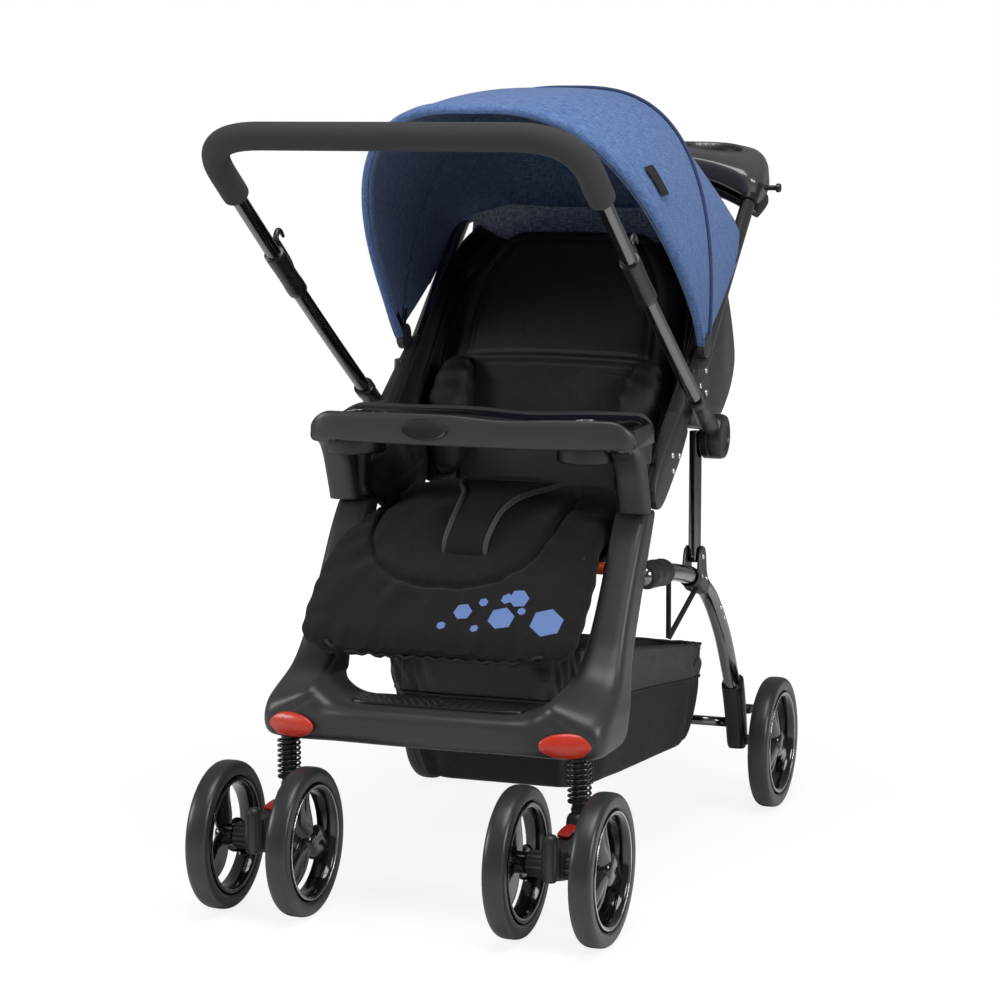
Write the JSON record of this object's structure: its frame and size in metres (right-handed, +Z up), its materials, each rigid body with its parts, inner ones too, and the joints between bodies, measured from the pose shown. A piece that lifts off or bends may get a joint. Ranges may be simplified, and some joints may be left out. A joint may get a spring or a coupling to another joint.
{
  "type": "stroller",
  "caption": "Folding stroller with reversible push handle, hood, reclining seat, child tray, console, basket and sprung twin front casters.",
  "frame": {"origin": "on the ground, at the centre of the stroller's bounding box", "axes": "+Z up; the seated child faces -Y; +X is the child's left"},
  "size_m": [0.517, 0.9426, 0.9623],
  "materials": {
    "dark_steel": "gloss, dark gunmetal",
    "charcoal_plastic": "satin",
    "black_plastic": "satin",
    "gloss_black": "gloss",
    "tyre_rubber": "satin",
    "tread_rubber": "matte",
    "grip_foam": "matte foam",
    "seat_cloth": "woven",
    "basket_cloth": "woven and mesh",
    "canopy_cloth": "melange weave",
    "red_lens": "prismatic lens",
    "red_plastic": "satin",
    "orange_plastic": "satin"
  },
  "bodies": {
    "front_frame": {"front_frame": "charcoal_plastic", "footrest_tread": "tread_rubber", "reflector_left": "red_lens", "reflector_right": "red_lens", "post_left": "black_plastic", "post_right": "black_plastic", "seat_board": "black_plastic", "seat_pad": "seat_cloth", "crotch_strap": "seat_cloth", "basket": "basket_cloth", "spring_left": "dark_steel", "spring_right": "dark_steel"},
    "leg_rest": {"leg_rest": "seat_cloth"},
    "release_button_left": {"release_button_left": "orange_plastic"},
    "release_button_right": {"release_button_right": "orange_plastic"},
    "push_frame": {"fold_bracket_left": "charcoal_plastic", "fold_bracket_right": "charcoal_plastic", "push_tube_left": "dark_steel", "push_tube_right": "dark_steel", "console_top": "gloss_black", "console_shell": "black_plastic", "canopy_rear_panel": "canopy_cloth"},
    "backrest": {"backrest": "seat_cloth"},
    "handle": {"handle_hub_left": "black_plastic", "handle_hub_right": "black_plastic", "handle_tube": "dark_steel", "handle_grip": "grip_foam"},
    "latch_left": {"latch_left": "black_plastic"},
    "latch_right": {"latch_right": "black_plastic"},
    "canopy_mid": {"canopy_mid_bow": "black_plastic", "canopy_front_panel": "canopy_cloth"},
    "canopy_front": {"canopy_front_bow": "black_plastic"},
    "child_tray": {"child_tray": "charcoal_plastic"},
    "rear_frame": {"rear_leg_left": "dark_steel", "rear_leg_right": "dark_steel", "rear_foot_left": "black_plastic", "rear_foot_right": "black_plastic", "rear_cross_tube": "dark_steel"},
    "brake_pedal_left": {"brake_pedal_left": "black_plastic"},
    "brake_pedal_right": {"brake_pedal_right": "black_plastic"},
    "struts": {"strut_left": "dark_steel", "strut_right": "dark_steel"},
    "stem_left": {"stem_left": "black_plastic"},
    "caster_left": {"caster_left": "charcoal_plastic"},
    "caster_lock_left": {"caster_lock_left": "red_plastic"},
    "front_left_outer": {"front_left_outer_tyre": "tyre_rubber", "front_left_outer_rim": "gloss_black"},
    "front_left_inner": {"front_left_inner_tyre": "tyre_rubber", "front_left_inner_rim": "gloss_black"},
    "rear_left": {"rear_left_tyre": "tyre_rubber", "rear_left_rim": "gloss_black"},
    "stem_right": {"stem_right": "black_plastic"},
    "caster_right": {"caster_right": "charcoal_plastic"},
    "caster_lock_right": {"caster_lock_right": "red_plastic"},
    "front_right_outer": {"front_right_outer_tyre": "tyre_rubber", "front_right_outer_rim": "gloss_black"},
    "front_right_inner": {"front_right_inner_tyre": "tyre_rubber", "front_right_inner_rim": "gloss_black"},
    "rear_right": {"rear_right_tyre": "tyre_rubber", "rear_right_rim": "gloss_black"}
  },
  "joints": [
    {"name": "main_fold", "type": "hinge", "parent": "front_frame", "child": "push_frame", "pos_m": [0, -0.08581, 0.475], "axis": [-1, 0, 0], "range_deg": [0, 90], "deforming": ["basket"]},
    {"name": "rear_fold", "type": "hinge", "parent": "front_frame", "child": "rear_frame", "pos_m": [0, -0.14881, 0.383], "axis": [-1, 0, 0], "range_deg": [0, 72]},
    {"name": "strut_swing", "type": "hinge", "parent": "rear_frame", "child": "struts", "pos_m": [0, 0.09919, 0.37], "axis": [-1, 0, 0], "range_deg": [-54.5, 0]},
    {"name": "handle_flip", "type": "hinge", "parent": "push_frame", "child": "handle", "pos_m": [0, 0.09919, 0.524], "axis": [1, 0, 0], "range_deg": [-97.5, 0]},
    {"name": "canopy_mid_fold", "type": "hinge", "parent": "push_frame", "child": "canopy_mid", "pos_m": [0, 0.10819, 0.638], "axis": [1, 0, 0], "range_deg": [-32, 0], "deforming": ["canopy_front_panel", "canopy_rear_panel"]},
    {"name": "canopy_front_fold", "type": "hinge", "parent": "canopy_mid", "child": "canopy_front", "pos_m": [0, 0.10819, 0.638], "axis": [1, 0, 0], "range_deg": [-46, 0]},
    {"name": "backrest_recline", "type": "hinge", "parent": "front_frame", "child": "backrest", "pos_m": [0, 0.05619, 0.456], "axis": [1, 0, 0], "range_deg": [-35, 0]},
    {"name": "leg_rest_lift", "type": "hinge", "parent": "front_frame", "child": "leg_rest", "pos_m": [0, -0.17581, 0.401], "axis": [1, 0, 0], "range_deg": [-40, 0]},
    {"name": "tray_lift", "type": "slide", "parent": "front_frame", "child": "child_tray", "axis": [0, 0, 1], "range_m": [0, 0.045]},
    {"name": "latch_slide_left", "type": "slide", "parent": "handle", "child": "latch_left", "axis": [0, -0.8329, 0.5534], "range_m": [0, 0.012], "stiffness_N_per_m": 150, "springref_m": -0.006},
    {"name": "release_press_left", "type": "slide", "parent": "front_frame", "child": "release_button_left", "axis": [-1, 0, 0], "range_m": [0, 0.004], "stiffness_N_per_m": 300, "springref_m": -0.003},
    {"name": "brake_left", "type": "hinge", "parent": "rear_frame", "child": "brake_pedal_left", "pos_m": [0.196, 0.33019, 0.126], "axis": [1, 0, 0], "range_deg": [-18, 0]},
    {"name": "suspension_left", "type": "slide", "parent": "front_frame", "child": "stem_left", "axis": [0, 0, 1], "range_m": [0, 0.012], "stiffness_N_per_m": 6000, "springref_m": -0.01, "deforming": ["spring_left"]},
    {"name": "swivel_left", "type": "hinge", "parent": "stem_left", "child": "caster_left", "pos_m": [0.182, -0.31481, 0.1], "axis": [0, 0, 1], "continuous": true},
    {"name": "swivel_lock_left", "type": "hinge", "parent": "caster_left", "child": "caster_lock_left", "pos_m": [0.182, -0.33981, 0.1202], "axis": [1, 0, 0], "range_deg": [-25, 0]},
    {"name": "front_left_outer_spin", "type": "hinge", "parent": "caster_left", "child": "front_left_outer", "pos_m": [0.2325, -0.38381, 0.0875], "axis": [1, 0, 0], "continuous": true},
    {"name": "front_left_inner_spin", "type": "hinge", "parent": "caster_left", "child": "front_left_inner", "pos_m": [0.1315, -0.38381, 0.0875], "axis": [1, 0, 0], "continuous": true},
    {"name": "rear_left_spin", "type": "hinge", "parent": "rear_frame", "child": "rear_left", "pos_m": [0.245, 0.31719, 0.0875], "axis": [1, 0, 0], "continuous": true},
    {"name": "latch_slide_right", "type": "slide", "parent": "handle", "child": "latch_right", "axis": [0, -0.8329, 0.5534], "range_m": [0, 0.012], "stiffness_N_per_m": 150, "springref_m": -0.006},
    {"name": "release_press_right", "type": "slide", "parent": "front_frame", "child": "release_button_right", "axis": [1, 0, 0], "range_m": [0, 0.004], "stiffness_N_per_m": 300, "springref_m": -0.003},
    {"name": "brake_right", "type": "hinge", "parent": "rear_frame", "child": "brake_pedal_right", "pos_m": [-0.196, 0.33019, 0.126], "axis": [1, 0, 0], "range_deg": [-18, 0]},
    {"name": "suspension_right", "type": "slide", "parent": "front_frame", "child": "stem_right", "axis": [0, 0, 1], "range_m": [0, 0.012], "stiffness_N_per_m": 6000, "springref_m": -0.01, "deforming": ["spring_right"]},
    {"name": "swivel_right", "type": "hinge", "parent": "stem_right", "child": "caster_right", "pos_m": [-0.182, -0.31481, 0.1], "axis": [0, 0, 1], "continuous": true},
    {"name": "swivel_lock_right", "type": "hinge", "parent": "caster_right", "child": "caster_lock_right", "pos_m": [-0.182, -0.33981, 0.1202], "axis": [1, 0, 0], "range_deg": [-25, 0]},
    {"name": "front_right_outer_spin", "type": "hinge", "parent": "caster_right", "child": "front_right_outer", "pos_m": [-0.2325, -0.38381, 0.0875], "axis": [1, 0, 0], "continuous": true},
    {"name": "front_right_inner_spin", "type": "hinge", "parent": "caster_right", "child": "front_right_inner", "pos_m": [-0.1315, -0.38381, 0.0875], "axis": [1, 0, 0], "continuous": true},
    {"name": "rear_right_spin", "type": "hinge", "parent": "rear_frame", "child": "rear_right", "pos_m": [-0.245, 0.31719, 0.0875], "axis": [1, 0, 0], "continuous": true}
  ],
  "couplings": [
    {"joint": "rear_fold", "follows": "main_fold", "ratio": 0.7979},
    {"joint": "strut_swing", "follows": "main_fold", "ratio": -0.6007},
    {"joint": "canopy_front_fold", "follows": "canopy_mid_fold", "ratio": 1.4375}
  ]
}
